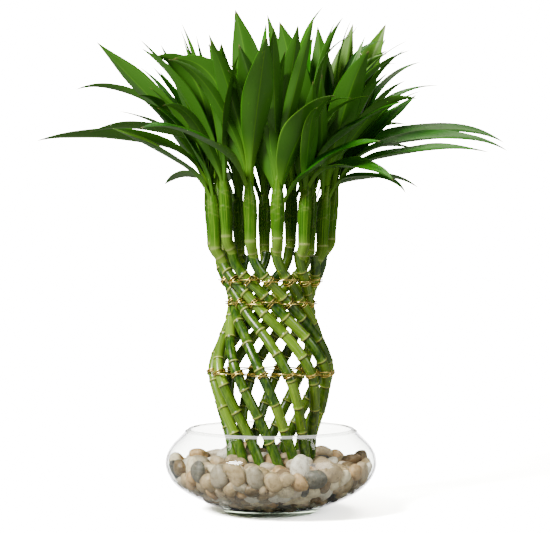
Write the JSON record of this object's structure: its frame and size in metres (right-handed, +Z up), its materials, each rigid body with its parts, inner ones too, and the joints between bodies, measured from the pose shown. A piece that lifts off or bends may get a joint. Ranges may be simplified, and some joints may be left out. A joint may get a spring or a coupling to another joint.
{
  "type": "lucky bamboo plant",
  "caption": "Lucky bamboo canes trained into a twisted, wire-tied cage with a waist and a belly, leafy shoots at the top, standing in a clear glass bowl of river pebbles.",
  "frame": {"origin": "middle of the bowl's flat foot, on the surface it stands on", "axes": "+Z up along the axis of the bowl and of the cage of canes; -Y towards the picture's viewer, +X to the viewer's right"},
  "size_m": [0.449, 0.3606, 0.4955],
  "materials": {
    "glass": "polished",
    "pebble": "satin",
    "cane_skin": "satin",
    "leaf": "satin",
    "gold_wire": "polished"
  },
  "bodies": {
    "root": {"glass_bowl": "glass", "pebble_bed": "pebble", "cane_01": "cane_skin", "cane_02": "cane_skin", "cane_03": "cane_skin", "cane_04": "cane_skin", "cane_05": "cane_skin", "cane_06": "cane_skin", "cane_07": "cane_skin", "cane_08": "cane_skin", "cane_09": "cane_skin", "cane_10": "cane_skin", "cane_11": "cane_skin", "cane_12": "cane_skin", "cane_13": "cane_skin", "cane_14": "cane_skin", "shoot_01": "leaf", "shoot_02": "leaf", "shoot_03": "leaf", "shoot_04": "leaf", "shoot_05": "leaf", "shoot_06": "leaf", "shoot_07": "leaf", "shoot_08": "leaf", "shoot_09": "leaf", "shoot_10": "leaf", "shoot_11": "leaf", "shoot_12": "leaf", "shoot_13": "leaf", "shoot_14": "leaf", "tie_belly": "gold_wire", "tie_waist_lower": "gold_wire", "tie_waist_upper": "gold_wire"}
  },
  "joints": []
}
